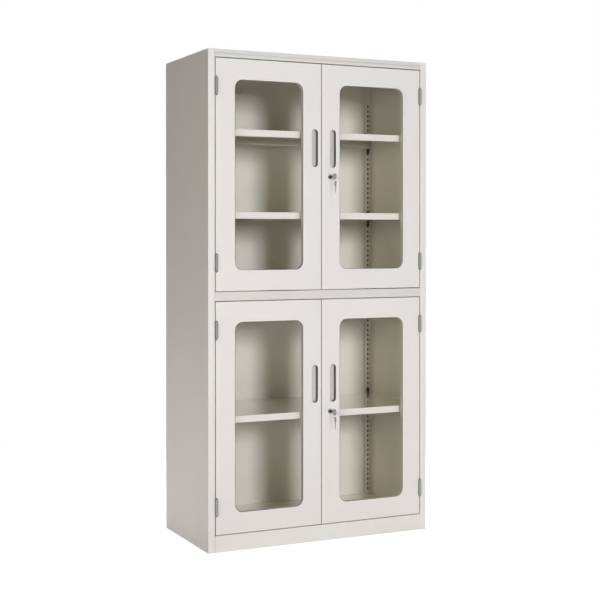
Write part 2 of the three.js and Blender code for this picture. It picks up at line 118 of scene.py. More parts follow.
LAMPS = {
    "key": {
        "words": "main softbox in front",
        "place": (-0.45, -7.2, 2.25),
        "target": (0, 0, 0.95),
        "size": (1.5, 1.6),
        "power": 294.0,
        "colour": (0.98, 0.99, 1.0),
    },
    "fill": {
        "words": "softbox on the left, which lights the right wall inside",
        "place": (-4.0, -3.3, 1.5),
        "target": (0, 0, 0.95),
        "size": (2.2, 0.8),
        "power": 52.0,
        "colour": (1.0, 0.93, 0.77),
    },
    "rear": {
        "words": "softbox behind the right side",
        "place": (3.6, 3.8, 2.2),
        "target": (0, 0, 0.95),
        "size": (2.4, 1.6),
        "power": 220.0,
        "colour": (1.0, 1.0, 1.0),
    },
    "top": {
        "words": "softbox over the lid",
        "place": (0.2, 0.7, 4.4),
        "target": (0, 0.2, 1.8),
        "size": (1.6, 1.2),
        "power": 42.0,
        "colour": (1.0, 1.0, 1.0),
    },
    "low": {
        "words": "low softbox on the left",
        "place": (-1.35, 0.0, 0.12),
        "target": (-0.45, 0.0, 0.3),
        "size": (0.6, 0.2),
        "power": 1.7,
        "colour": (0.98, 0.98, 1.0),
    },
    "base": {
        "words": "low softbox in front",
        "place": (0.1, -1.8, 0.1),
        "target": (0, -0.2, 0.2),
        "size": (1.4, 0.2),
        "power": 1.9,
        "colour": (1.0, 0.98, 1.0),
    },
}


# Properties


def number_prop(name, description, default):
    """A plain number that the panel shows."""
    return FloatProperty(name=name, description=description, default=default)


def length_prop(name, description, default):
    """A length that the panel shows."""
    return FloatProperty(name=name, description=description, default=default, unit="LENGTH")


def colour_prop(name, description, default):
    """A colour that the panel shows."""
    return FloatVectorProperty(
        name=name, description=description, default=default, subtype="COLOR", min=0, max=1
    )


def place_prop(name, description, default):
    """A place in the scene that the panel shows."""
    return FloatVectorProperty(
        name=name, description=description, default=default, subtype="TRANSLATION", unit="LENGTH"
    )


def span_prop(name, description, default):
    """A width and a height that the panel shows."""
    return FloatVectorProperty(
        name=name, description=description, default=default, size=2, unit="LENGTH"
    )


class CabinetSizes(PropertyGroup):
    """Sizes of folds, edges and fittings."""

    fold_radius: length_prop("Fold radius", "Outer radius where the sheet is folded", 0.0014)
    lid_radius: length_prop("Lid edge radius", "Outer radius of the lid's folds", 0.0006)
    cut_radius: length_prop(
        "Cut edge radius", "Rounding that the paint gives the sheet's cut edges", 0.0003
    )
    fitting_radius: length_prop(
        "Fitting edge radius", "Rounding of the edges of hinges, locks and keys", 0.0003
    )
    cup_radius: length_prop(
        "Pull floor radius", "Radius between the wall and the floor of a pull", 0.008
    )
    cup_flange: length_prop("Pull flange", "Width of the flange behind the door's sheet", 0.004)
    cup_wall: length_prop("Pull wall", "Thickness of a pull", 0.0012)
    post_sheet: length_prop("Post sheet", "Thickness of the slotted posts", 0.0012)
    slot_width: length_prop("Slot width", "Width of a slot in a post", 0.007)
    slot_height: length_prop("Slot height", "Height of a slot in a post", 0.010)
    slot_pitch: length_prop("Slot pitch", "Distance from slot to slot up a post", 0.020)
    slot_from_corner: length_prop(
        "Slot from corner", "Distance of the slots from the outer corner of a post", 0.016
    )
    slot_above_floor: length_prop(
        "First slot above floor", "Height of the lowest slot above a compartment's floor", 0.020
    )
    slot_count: IntProperty(
        name="Slots in a compartment",
        description="Slots up each post in one compartment",
        default=37,
        min=1,
    )
    # Painted shadow: thickness, lap and space of the dark strips put behind the slots in place of
    # their shade.
    slot_shade: length_prop(
        "Slot backing sheet", "Thickness of the dark strips behind the slots", 0.0004
    )
    slot_shade_lap: length_prop(
        "Slot backing lap", "How far the dark strips reach past the slots", 0.002
    )
    slot_shade_space: length_prop(
        "Slot backing space", "Distance of the dark strips behind a post", 0.0002
    )
    clip_width: length_prop("Clip width", "Width of a shelf clip", 0.014)
    clip_sheet: length_prop("Clip sheet", "Thickness of a shelf clip", 0.0016)
    clip_above: length_prop("Clip above shelf", "How far a clip stands above the shelf's top", 0.018)
    clip_below: length_prop("Clip below shelf", "How far a clip reaches below the shelf's lip", 0.020)
    clip_ledge: length_prop("Clip ledge", "Reach of the ledge that carries the shelf", 0.016)
    window_border: length_prop("Window border", "Width of the door round its window", 0.074)
    window_radius: length_prop("Window radius", "Radius of a window's corners", 0.030)
    # A dark ring inside each window's edge, drawn as a thin dark line: how much of it shows, and how
    # far behind the face it lies.
    dark_ring_width: length_prop("Seal width", "How much of the seal shows inside a window's edge", 0.0014)
    dark_ring_inset: length_prop("Seal inset", "How far the seal lies behind the door's face", 0.0003)
    screw_radius: length_prop("Screw head radius", "Radius of the retainer screws' heads", 0.0026)
    screw_height: length_prop("Screw head height", "Height of the retainer screws' heads", 0.0016)
    screw_spacing: length_prop("Screw spacing", "Greatest distance between retainer screws", 0.160)
    retainer_flange: length_prop(
        "Retainer flange", "Width of the retainer's flange on the glass", 0.010
    )
    retainer_sheet: length_prop("Retainer sheet", "Thickness of the retainer", 0.0012)


class CabinetFinishes(PropertyGroup):
    """Colours of paint, glass and metal."""

    paint: colour_prop("Paint", "Warm light grey powder coat", (0.81, 0.795, 0.785))
    # The lid and the rails get a darker tone than the doors.
    darker_rail_tone: colour_prop(
        "Rail paint", "Powder coat of the lid and the rails, a little darker", (0.715, 0.70, 0.695)
    )
    inner_paint: colour_prop(
        "Inner paint", "Powder coat of the back panel, a little lighter", (0.86, 0.85, 0.83)
    )
    # Painted shade colour: a warm tint seen only by bounced light, which turns the shade inside the
    # cabinet olive.
    bounce: colour_prop(
        "Bounce tint", "Warm tint that the paint adds to the light it passes on", (1.0, 0.965, 0.79)
    )
    glass: colour_prop("Glass", "Tint of the panes", (0.99, 0.989, 0.98))
    glass_mirror: FloatProperty(
        name="Glass mirror",
        description="Share of the light that a pane's face mirrors head on",
        default=0.005,
        min=0,
        max=1,
        subtype="FACTOR",
    )
    pull: colour_prop("Pull", "Satin grey metal of the pulls", (0.64, 0.62, 0.59))
    # Painted shade: the dark colour of the pulls' walls stands in for the shade in the recess.
    pull_wall_shade: colour_prop("Pull wall", "Dull metal of the pulls' walls", (0.19, 0.18, 0.165))
    steel: colour_prop("Steel", "Zinc-plated steel of hinges and cams", (0.36, 0.355, 0.345))
    plating: colour_prop("Plating", "Nickel plating of keys and lock", (0.56, 0.55, 0.54))
    dark_plating: colour_prop("Dark plating", "Darker face of the lock plug", (0.10, 0.098, 0.095))
    # Painted shadow: the dark grey of the strips behind the slots.
    slot_shade: colour_prop(
        "Slot backing", "Dark grey behind the slots of the posts", (0.07, 0.066, 0.058)
    )
    # Dark grey of the rings inside the windows' edges.
    seal: colour_prop("Seal", "Dark grey rubber of the window seals", (0.09, 0.086, 0.078))
    clip: colour_prop("Clip", "Blackened steel of the shelf clips", (0.018, 0.018, 0.018))


class CabinetStage(PropertyGroup):
    """Camera, lamps and surroundings."""

    camera_place: place_prop("Camera place", "Where the camera stands", (-2.070, -4.375, 1.128))
    camera_yaw: FloatProperty(
        name="Camera yaw",
        description="Turn of the view to the right of straight ahead",
        default=math.radians(25.39),
        subtype="ANGLE",
    )
    camera_pitch: FloatProperty(
        name="Camera pitch",
        description="Tilt of the view above the horizon",
        default=math.radians(-0.32),
        subtype="ANGLE",
    )
    lens: number_prop("Lens", "Focal length in millimetres on a 36 mm sensor", 75.38)
    shift: number_prop("Vertical shift", "Share of the frame by which the view is lowered", -0.093)
    ambient: number_prop("Ambient light", "Strength of the light from all round", 0.035)
    ambient_colour: colour_prop("Ambient colour", "Warm light from all round", (1.0, 0.8, 0.45))
    floor_colour: colour_prop("Floor", "Pale floor", (0.72, 0.72, 0.72))
    floor_glow: number_prop(
        "Floor glow", "Light that the floor adds to what the camera sees of it", 0.85
    )
    floor_radius: length_prop(
        "Floor radius", "Distance at which the floor has faded to the background", 2.6
    )


def add_lamp_settings(group):
    """Gives the stage each lamp's place, size, power and colour."""
    for name, lamp in LAMPS.items():
        label = name.capitalize() + " lamp "
        words = lamp["words"]
        group.__annotations__.update({
            name + "_place": place_prop(label + "place", f"Place of the {words}", lamp["place"]),
            name + "_size": span_prop(label + "size", f"Two sides of the {words}", lamp["size"]),
            name + "_power": number_prop(label + "power", f"Watts of the {words}", lamp["power"]),
            name + "_colour": colour_prop(label + "colour", f"Light of the {words}", lamp["colour"]),
        })


add_lamp_settings(CabinetStage)


# Materials


def new_material(name):
    """A material with its shader, ready for a finish."""
    material = bpy.data.materials.new(name)
    material.use_nodes = True
    return material, material.node_tree, material.node_tree.nodes["Principled BSDF"]


def noise(tree, scale, detail, stretch=(1, 1, 1)):
    """Noise on the piece's own coordinates."""
    place = tree.nodes.new("ShaderNodeTexCoord")
    mapping = tree.nodes.new("ShaderNodeMapping")
    mapping.inputs["Scale"].default_value = stretch
    texture = tree.nodes.new("ShaderNodeTexNoise")
    texture.inputs["Scale"].default_value = scale
    texture.inputs["Detail"].default_value = detail
    tree.links.new(place.outputs["Object"], mapping.inputs["Vector"])
    tree.links.new(mapping.outputs["Vector"], texture.inputs["Vector"])
    return texture.outputs["Fac"]


def between(tree, value, low, high):
    """Carries a noise value over to a range."""
    spread = tree.nodes.new("ShaderNodeMapRange")
    spread.inputs["From Min"].default_value = NOISE_LOW
    spread.inputs["From Max"].default_value = NOISE_HIGH
    spread.inputs["To Min"].default_value = low
    spread.inputs["To Max"].default_value = high
    tree.links.new(value, spread.inputs["Value"])
    return spread.outputs["Result"]


def mixed(tree, factor, first, second, blend="MIX"):
    """Two colours mixed by a factor. Each is a plain colour or another node's output."""
    mix = tree.nodes.new("ShaderNodeMix")
    mix.data_type = "RGBA"
    mix.blend_type = blend
    tree.links.new(factor, mix.inputs["Factor"])
    for label, value in (("A", first), ("B", second)):
        if isinstance(value, bpy.types.NodeSocket):
            tree.links.new(value, mix.inputs[label])
        else:
            mix.inputs[label].default_value = (*value, 1)
    return mix.outputs["Result"]


def tinted(tree, value, colour, low, high):
    """A colour that the value makes darker or lighter."""
    return mixed(tree, value, [low * part for part in colour], [high * part for part in colour])


def bump(tree, shader, value, strength, distance):
    """Relief on the shader's surface."""
    relief = tree.nodes.new("ShaderNodeBump")
    relief.inputs["Strength"].default_value = strength
    relief.inputs["Distance"].default_value = distance
    tree.links.new(value, relief.inputs["Height"])
    tree.links.new(relief.outputs["Normal"], shader.inputs["Normal"])


def powder_coat(name, colour, rough=0.52, relief=0.12, gloss=0.25, lacquer=0.0):
    """Fine-textured powder coat with soft tone changes, slightly uneven gloss, and a warm tint on
    bounced light that paints the shade olive.
    """
    material, tree, shader = new_material(name)
    shader.inputs["Specular IOR Level"].default_value = gloss
    shader.inputs["Coat Weight"].default_value = lacquer
    clouds = noise(tree, scale=3.0, detail=4.0)
    tone = tinted(tree, clouds, colour, low=0.97, high=1.03)
    # Painted shade colour: bounced light sees the paint tinted warm, so shade turns olive while
    # directly lit paint keeps its colour.
    bounced = tree.nodes.new("ShaderNodeLightPath").outputs["Is Diffuse Ray"]
    warmth = bpy.context.scene.cabinet_finishes.bounce
    tree.links.new(mixed(tree, bounced, tone, warmth, "MULTIPLY"), shader.inputs["Base Color"])
    uneven = between(tree, noise(tree, scale=40.0, detail=3.0), low=rough * 0.9, high=rough * 1.1)
    tree.links.new(uneven, shader.inputs["Roughness"])
    bump(tree, shader, noise(tree, scale=900.0, detail=2.0), strength=relief, distance=0.0002)
    return material


def pane_glass(finishes):
    """Clear float glass: a faint green tint, more mirror at a slant, and faint wiping marks."""
    material, tree, shader = new_material("clear_pane")
    shader.inputs["Base Color"].default_value = (1, 1, 1, 1)
    shader.inputs["Metallic"].default_value = 1.0
    marks = noise(tree, scale=14.0, detail=4.0, stretch=(1, 1, 0.2))
    tree.links.new(between(tree, marks, low=0.02, high=0.07), shader.inputs["Roughness"])
    clear = tree.nodes.new("ShaderNodeBsdfTransparent")
    clear.inputs["Color"].default_value = (*finishes.glass, 1)
    slant = tree.nodes.new("ShaderNodeLayerWeight")
    rise = tree.nodes.new("ShaderNodeMath")
    rise.operation = "POWER"
    rise.inputs[1].default_value = MIRROR_POWER
    mirror = tree.nodes.new("ShaderNodeMapRange")
    mirror.inputs["To Min"].default_value = finishes.glass_mirror
    pane = tree.nodes.new("ShaderNodeMixShader")
    tree.links.new(slant.outputs["Facing"], rise.inputs[0])
    tree.links.new(rise.outputs["Value"], mirror.inputs["Value"])
    tree.links.new(mirror.outputs["Result"], pane.inputs["Fac"])
    tree.links.new(clear.outputs["BSDF"], pane.inputs[1])
    tree.links.new(shader.outputs["BSDF"], pane.inputs[2])
    tree.links.new(pane.outputs["Shader"], tree.nodes["Material Output"].inputs["Surface"])
    return material


def brushed_metal(name, colour, rough, stretch):
    """Metal with brush lines across the way that stretch is long, and painted shade that darkens it at
    a slant.
    """
    material, tree, shader = new_material(name)
    shader.inputs["Metallic"].default_value = 1.0
    lines = noise(tree, scale=700.0, detail=3.0, stretch=stretch)
    tone = tinted(tree, lines, colour, low=0.88, high=1.1)
    # Painted shade: the colour darkens where the metal is seen at a slant.
    slant = tree.nodes.new("ShaderNodeLayerWeight").outputs["Facing"]
    edge = [METAL_EDGE_SHADE * part for part in colour]
    uneven = between(tree, lines, low=rough - 0.06, high=rough + 0.08)
    tree.links.new(mixed(tree, slant, tone, edge), shader.inputs["Base Color"])
    tree.links.new(uneven, shader.inputs["Roughness"])
    bump(tree, shader, lines, strength=0.1, distance=0.0001)
    return material


def satin_metal(name, colour, rough, metallic):
    """Satin or blackened metal with a fine cloudy grain."""
    material, tree, shader = new_material(name)
    shader.inputs["Metallic"].default_value = metallic
    grain = noise(tree, scale=260.0, detail=4.0)
    tone = tinted(tree, grain, colour, low=0.9, high=1.1)
    uneven = between(tree, grain, low=rough - 0.05, high=rough + 0.08)
    tree.links.new(tone, shader.inputs["Base Color"])
    tree.links.new(uneven, shader.inputs["Roughness"])
    bump(tree, shader, grain, strength=0.08, distance=0.0001)
    return material


def pull_metal(name, colours):
    """Satin metal of the pulls, with painted shade: dark on the wall and lighter towards the floor."""
    material = satin_metal(name, colours.pull, rough=0.42, metallic=1.0)
    tree = material.node_tree
    shader = tree.nodes["Principled BSDF"]
    low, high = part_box(f"{DOORS[0]}_pull_cup")
    place = tree.nodes.new("ShaderNodeTexCoord")
    axes = tree.nodes.new("ShaderNodeSeparateXYZ")
    # Painted shade: the colour runs from dark on the wall to the lighter metal at the floor.
    depth = tree.nodes.new("ShaderNodeMapRange")
    depth.inputs["From Min"].default_value = (low.y + high.y) / 2
    depth.inputs["From Max"].default_value = high.y - sizes().cup_wall
    tree.links.new(place.outputs["Object"], axes.inputs["Vector"])
    tree.links.new(axes.outputs["Y"], depth.inputs["Value"])
    floor_tone = shader.inputs["Base Color"].links[0].from_socket
    tone = mixed(tree, depth.outputs["Result"], colours.pull_wall_shade, floor_tone)
    tree.links.new(tone, shader.inputs["Base Color"])
    return material


def finish(name):
    """The named material, made once."""
    made = bpy.data.materials.get(name)
    if made:
        return made
    colours = bpy.context.scene.cabinet_finishes
    upright, through = (1, 1, 0.06), (1, 0.1, 1)
    makers = {
        "powder_coat": lambda: powder_coat(name, colours.paint),
        "back_powder_coat": lambda: powder_coat(name, colours.inner_paint),
        "rail_powder_coat": lambda: powder_coat(name, colours.darker_rail_tone),
        "gloss_powder_coat": lambda: powder_coat(
            name, colours.paint, rough=0.1, relief=0.02, gloss=0.6, lacquer=1.0
        ),
        "clear_pane": lambda: pane_glass(colours),
        "pull_satin": lambda: pull_metal(name, colours),
        "hinge_steel": lambda: brushed_metal(name, colours.steel, rough=0.38, stretch=upright),
        "nickel_plating": lambda: brushed_metal(name, colours.plating, rough=0.16, stretch=through),
        "dark_plating": lambda: brushed_metal(name, colours.dark_plating, rough=0.3, stretch=through),
        # Painted shadow behind the slots.
        "slot_shade": lambda: satin_metal(name, colours.slot_shade, rough=0.8, metallic=0.0),
        "seal_rubber": lambda: satin_metal(name, colours.seal, rough=0.7, metallic=0.0),
        "clip_black": lambda: satin_metal(name, colours.clip, rough=0.5, metallic=0.3),
    }
    return makers[name]()


# Shapes


def evaluated(host):
    """The plain mesh that an object's modifiers make, without the object."""
    bpy.context.view_layer.update()
    graph = bpy.context.evaluated_depsgraph_get()
    mesh = bpy.data.meshes.new_from_object(host.evaluated_get(graph))
    bpy.data.objects.remove(host)
    return mesh


def linked_object(name, mesh):
    """A new object in the scene."""
    made = bpy.data.objects.new(name, mesh)
    bpy.context.scene.collection.objects.link(made)
    return made


def place_piece(name, mesh, material, body, replaced=()):
    """Adds a finished mesh as a piece that moves with a body."""
    mesh.name = name
    mesh.materials.clear()
    mesh.materials.append(material)
    piece = linked_object(name, mesh)
    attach(piece, body)
    if replaced:
        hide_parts(*replaced)


def face_width(face):
    """About how wide a face is across its narrow way."""
    outline = sum(edge.calc_length() for edge in face.edges)
    return 2 * face.calc_area() / outline


def edge_radius(edge, fold, cut):
    """How far an edge is rounded: folds most, cut edges little and hollows not at all."""
    if not edge.is_convex or edge.calc_face_angle() < CREASE_ANGLE:
        return 0
    narrow = min(face_width(face) for face in edge.link_faces)
    return cut if narrow < SHEET_WIDTH else fold


def eased_mesh(node, fold, cut):
    """A copy of a node's solid with its edges rounded."""
    shape = bmesh.new()
    shape.from_mesh(frame["nodes"][node].data)
    bmesh.ops.remove_doubles(shape, verts=shape.verts, dist=MERGE_DISTANCE)
    bmesh.ops.dissolve_limit(shape, angle_limit=FLAT_ANGLE, verts=shape.verts, edges=shape.edges)
    widest = max(fold, cut)
    weight = shape.edges.layers.float.new("bevel_weight_edge")
    for face in shape.faces:
        face.smooth = True
    for edge in shape.edges:
        radius = edge_radius(edge, fold, cut)
        edge[weight] = radius / widest
        edge.smooth = radius > 0 or edge.calc_face_angle() < CREASE_ANGLE
    mesh = bpy.data.meshes.new(node)
    shape.to_mesh(mesh)
    shape.free()
    host = linked_object(node + "_host", mesh)
    bevel = host.modifiers.new("Rounding", "BEVEL")
    bevel.width = widest
    bevel.segments = EDGE_SEGMENTS
    bevel.limit_method = "WEIGHT"
    bevel.use_clamp_overlap = False
    flat = host.modifiers.new("Flat faces", "WEIGHTED_NORMAL")
    flat.weight = FLAT_FACE_WEIGHT
    flat.keep_sharp = True
    return evaluated(host)


def stand_in(node, mesh, material):
    """Stands a finished mesh in a node's place."""
    body = frame["nodes"][node]["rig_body"]
    place_piece(node + "_piece", mesh, finish(material), body, [node])


def dress(node, material, fold, cut):
    """Stands a piece with rounded edges and a finish in a node's place."""
    stand_in(node, eased_mesh(node, fold, cut), material)


def skin(shape, rings):
    """Faces between rings that follow one another."""
    for ring, following in zip(rings, rings[1:]):
        for step, corner in enumerate(ring):
            nearest = (step + 1) % len(ring)
            shape.faces.new((corner, ring[nearest], following[nearest], following[step]))


def smoothed(mesh):
    """The mesh with smooth faces and sharp creases."""
    mesh.shade_smooth()
    mesh.set_sharp_from_angle(angle=CREASE_ANGLE)
    return mesh


def sizes():
    """The sizes that the panel shows."""
    return bpy.context.scene.cabinet_sizes


# Geometry Nodes


def new_tree(name, sockets):
    """An empty tree with a geometry output and named inputs."""
    tree = bpy.data.node_groups.new(name, "GeometryNodeTree")
    tree.interface.new_socket("Geometry", in_out="OUTPUT", socket_type="NodeSocketGeometry")
    for label, kind in sockets:
        tree.interface.new_socket(label, in_out="INPUT", socket_type=kind)
    return tree, tree.nodes.new("NodeGroupInput"), tree.nodes.new("NodeGroupOutput")


def instances(tree, source, points, fitting):
    """Sets the fitting on each point."""
    held = tree.nodes.new("GeometryNodeObjectInfo")
    spread = tree.nodes.new("GeometryNodeInstanceOnPoints")
    tree.links.new(source.outputs[fitting], held.inputs["Object"])
    tree.links.new(points, spread.inputs["Points"])
    tree.links.new(held.outputs["Geometry"], spread.inputs["Instance"])
    return spread


def close_tree(tree, source, sink, geometry):
    """Ends a tree with real geometry, merged and with its material."""
    real = tree.nodes.new("GeometryNodeRealizeInstances")
    weld = tree.nodes.new("GeometryNodeMergeByDistance")
    weld.inputs["Distance"].default_value = MERGE_DISTANCE
    coat = tree.nodes.new("GeometryNodeSetMaterial")
    tree.links.new(geometry, real.inputs["Geometry"])
    tree.links.new(real.outputs["Geometry"], weld.inputs["Geometry"])
    tree.links.new(weld.outputs["Geometry"], coat.inputs["Geometry"])
    tree.links.new(source.outputs["Material"], coat.inputs["Material"])
    tree.links.new(coat.outputs["Geometry"], sink.inputs["Geometry"])
    return tree


def slotted_run_tree():
    """Two runs of slotted lengths, stacked from two levels, joined to the plain lengths."""
    tree, source, sink = new_tree("Slotted run", [
        ("Plain lengths", "NodeSocketGeometry"),
        ("Slotted length", "NodeSocketObject"),
        ("Count", "NodeSocketInt"),
        ("Pitch", "NodeSocketFloat"),
        ("Lower level", "NodeSocketFloat"),
        ("Upper level", "NodeSocketFloat"),
        ("Material", "NodeSocketMaterial"),
    ])
    step = tree.nodes.new("ShaderNodeCombineXYZ")
    tree.links.new(source.outputs["Pitch"], step.inputs["Z"])
    levels = tree.nodes.new("GeometryNodeJoinGeometry")
    for label in ("Lower level", "Upper level"):
        start = tree.nodes.new("ShaderNodeCombineXYZ")
        line = tree.nodes.new("GeometryNodeMeshLine")
        tree.links.new(source.outputs[label], start.inputs["Z"])
        tree.links.new(source.outputs["Count"], line.inputs["Count"])
        tree.links.new(start.outputs["Vector"], line.inputs["Start Location"])
        tree.links.new(step.outputs["Vector"], line.inputs["Offset"])
        tree.links.new(line.outputs["Mesh"], levels.inputs["Geometry"])
    run = instances(tree, source, levels.outputs["Geometry"], "Slotted length")
    whole = tree.nodes.new("GeometryNodeJoinGeometry")
    tree.links.new(source.outputs["Plain lengths"], whole.inputs["Geometry"])
    tree.links.new(run.outputs["Instances"], whole.inputs["Geometry"])
    return close_tree(tree, source, sink, whole.outputs["Geometry"])


def points_tree():
    """A fitting on each point, turned about the vertical."""
    tree, source, sink = new_tree("Fittings on points", [
        ("Points", "NodeSocketGeometry"),
        ("Fitting", "NodeSocketObject"),
        ("Turn", "NodeSocketFloat"),
        ("Material", "NodeSocketMaterial"),
    ])
    turn = tree.nodes.new("ShaderNodeCombineXYZ")
    tree.links.new(source.outputs["Turn"], turn.inputs["Z"])
    spread = instances(tree, source, source.outputs["Points"], "Fitting")
    tree.links.new(turn.outputs["Vector"], spread.inputs["Rotation"])
    return close_tree(tree, source, sink, spread.outputs["Instances"])


def frame_tree():
    """Fittings spaced round an upright rectangle."""
    tree, source, sink = new_tree("Fittings round a frame", [
        ("Fitting", "NodeSocketObject"),
        ("Width", "NodeSocketFloat"),
        ("Height", "NodeSocketFloat"),
        ("Spacing", "NodeSocketFloat"),
        ("Place", "NodeSocketVector"),
        ("Material", "NodeSocketMaterial"),
    ])
    path = tree.nodes.new("GeometryNodeCurvePrimitiveQuadrilateral")
    tree.links.new(source.outputs["Width"], path.inputs["Width"])
    tree.links.new(source.outputs["Height"], path.inputs["Height"])
    spaced = tree.nodes.new("GeometryNodeResampleCurve")
    spaced.mode = "LENGTH"
    tree.links.new(path.outputs["Curve"], spaced.inputs["Curve"])
    tree.links.new(source.outputs["Spacing"], spaced.inputs["Length"])
    upright = tree.nodes.new("GeometryNodeTransform")
    upright.inputs["Rotation"].default_value = (math.pi / 2, 0, 0)
    tree.links.new(spaced.outputs["Curve"], upright.inputs["Geometry"])
    tree.links.new(source.outputs["Place"], upright.inputs["Translation"])
    spread = instances(tree, source, upright.outputs["Geometry"], "Fitting")
    return close_tree(tree, source, sink, spread.outputs["Instances"])


def grown(tree, values, base=None):
    """The plain mesh that a tree makes with these inputs."""
    host = linked_object(tree.name, base or bpy.data.meshes.new(tree.name))
    modifier = host.modifiers.new(tree.name, "NODES")
    modifier.node_group = tree
    for item in tree.interface.items_tree:
        if item.in_out == "INPUT" and item.name in values:
            modifier[item.identifier] = values[item.name]
    return evaluated(host)


# Slotted posts and shelf clips


def leg_grid(low, slot, high, base):
    """Lines across a leg, on each side of its slots."""
    return [low, slot - base, slot + base, high]


def add_leg_face(shape, across, levels, point, slotted, turned):
    """One face of a leg, open at its slot."""
    for column in range(len(across) - 1):
        for row in range(len(levels) - 1):
            if slotted and column == 1 and row == 1:
                continue
            corners = [
                (across[column], levels[row]),
                (across[column + 1], levels[row]),
                (across[column + 1], levels[row + 1]),
                (across[column], levels[row + 1]),
            ]
            loop = [shape.verts.new(point(*corner)) for corner in corners]
            shape.faces.new(loop[::-1] if turned else loop)


def add_slot_walls(shape, across, levels, outer, inner, turned):
    """The walls of a slot, from the outer face of a leg to its inner one."""
    rim = [
        (across[1], levels[1]),
        (across[2], levels[1]),
        (across[2], levels[2]),
        (across[1], levels[2]),
    ]
    for here, there in zip(rim, rim[1:] + rim[:1]):
        loop = [outer(*here), outer(*there), inner(*there), inner(*here)]
        verts = [shape.verts.new(corner) for corner in loop]
        shape.faces.new(verts[::-1] if turned else verts)


def angle_length(corner, towards, leg, levels, slotted):
    """A length of an angle post: both legs, open at its ends, with a slot in each if asked."""
    size = sizes()
    sheet = size.post_sheet
    half = size.slot_width / 2
    outer_lines = leg_grid(0, size.slot_from_corner, leg, half)
    inner_lines = leg_grid(sheet, size.slot_from_corner, leg, half)
    mirrored = towards[0] * towards[1] < 0
    shape = bmesh.new()

    def at(u, v, z):
        return (corner[0] + towards[0] * u, corner[1] + towards[1] * v, z)

    for swap in (False, True):
        def outer(line, z, swap=swap):
            return at(0, line, z) if swap else at(line, 0, z)

        def inner(line, z, swap=swap):
            return at(sheet, line, z) if swap else at(line, sheet, z)

        def edge(depth, z, swap=swap):
            return at(depth, leg, z) if swap else at(leg, depth, z)

        turned = swap != mirrored
        add_leg_face(shape, outer_lines, levels, outer, slotted, turned)
        add_leg_face(shape, inner_lines, levels, inner, slotted, not turned)
        add_leg_face(shape, [0, sheet], levels, edge, False, turned)
        if slotted:
            add_slot_walls(shape, outer_lines, levels, outer, inner, turned)
    bmesh.ops.remove_doubles(shape, verts=shape.verts, dist=MERGE_DISTANCE)
    return shape


def cap_ends(shape, levels):
    """Closes a post at its two ends."""
    for level in levels:
        rim = [
            edge for edge in shape.edges
            if edge.is_boundary and all(abs(vert.co.z - level) < MERGE_DISTANCE for vert in edge.verts)
        ]
        bmesh.ops.contextual_create(shape, geom=rim)


def as_mesh(shape, name):
    """A mesh from a worked shape."""
    mesh = bpy.data.meshes.new(name)
    shape.to_mesh(mesh)
    shape.free()
    return mesh


def slotted_post(post, tree):
    """A corner post with slots in both legs."""
    size = sizes()
    node = post + "_post"
    low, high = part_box(node)
    side = -1 if post.startswith("left") else 1
    front = post.endswith("front")
    corner = (low.x if side < 0 else high.x, low.y if front else high.y)
    towards = (-side, 1 if front else -1)
    leg = high.x - low.x
    half = size.slot_pitch / 2
    floors = [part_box("floor_panel")[1].z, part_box("middle_panel")[1].z]
    starts = [floor + size.slot_above_floor for floor in floors]
    run = (size.slot_count - 1) * size.slot_pitch
    cell_levels = [-half, -size.slot_height / 2, size.slot_height / 2, half]
    slotted = angle_length(corner, towards, leg, cell_levels, True)
    cell = linked_object("slotted_length", as_mesh(slotted, "cell"))
    plain = bmesh.new()
    stops = [
        (low.z, starts[0] - half),
        (starts[0] + run + half, starts[1] - half),
        (starts[1] + run + half, high.z),
    ]
    for stop in stops:
        length = as_mesh(angle_length(corner, towards, leg, stop, False), "length")
        plain.from_mesh(length)
        bpy.data.meshes.remove(length)
    cap_ends(plain, (low.z, high.z))
    mesh = grown(tree, {
        "Slotted length": cell,
        "Count": size.slot_count,
        "Pitch": size.slot_pitch,
        "Lower level": starts[0],
        "Upper level": starts[1],
        "Material": finish("powder_coat"),
    }, as_mesh(plain, "plain"))
    bpy.data.objects.remove(cell)
    stand_in(node, mesh, "powder_coat")


def add_block(shape, xs, ys, zs):
    """A block between two limits each way."""
    middle = Vector((sum(xs) / 2, sum(ys) / 2, sum(zs) / 2))
    spans = (xs[1] - xs[0], ys[1] - ys[0], zs[1] - zs[0], 1)
    place = Matrix.Translation(middle) @ Matrix.Diagonal(spans)
    bmesh.ops.create_cube(shape, size=1, matrix=place)


def painted_slot_shadow():
    """Painted shadow: dark strips put in the space behind the posts' slots, where there is only shade,
    so that the slots look open and deep.
    """
    size = sizes()
    shape = bmesh.new()
    half = size.slot_width / 2 + size.slot_shade_lap
    for post in POSTS:
        low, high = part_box(post + "_post")
        inward = size.slot_from_corner
        x = low.x + inward if post.startswith("left") else high.x - inward
        back, out = (low.y, -1) if post.endswith("front") else (high.y, 1)
        near = back + out * size.slot_shade_space
        ys = sorted((near, near + out * size.slot_shade))
        add_block(shape, (x - half, x + half), ys, (low.z, high.z))
    place_piece("slot_backing_strips", as_mesh(shape, "strips"), finish("slot_shade"), "cabinet")


def clip_shape():
    """A shelf clip: an upright strip, and the folded ledge that carries the shelf."""
    size = sizes()
    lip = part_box("lower_shelf")
    seat = lip[0].z - lip[1].z
    shape = bmesh.new()
    across = (-size.clip_width / 2, size.clip_width / 2)
    under = seat - MERGE_DISTANCE
    add_block(shape, across, (0, size.clip_sheet), (seat - size.clip_below, size.clip_above))
    add_block(shape, across, (size.clip_sheet, size.clip_ledge), (seat - size.clip_sheet, under))
    bmesh.ops.bevel(
        shape,
        geom=shape.edges,
        offset=size.fitting_radius,
        segments=EDGE_SEGMENTS,
        affect="EDGES",
        profile=0.5,
    )
    return as_mesh(shape, "clip")


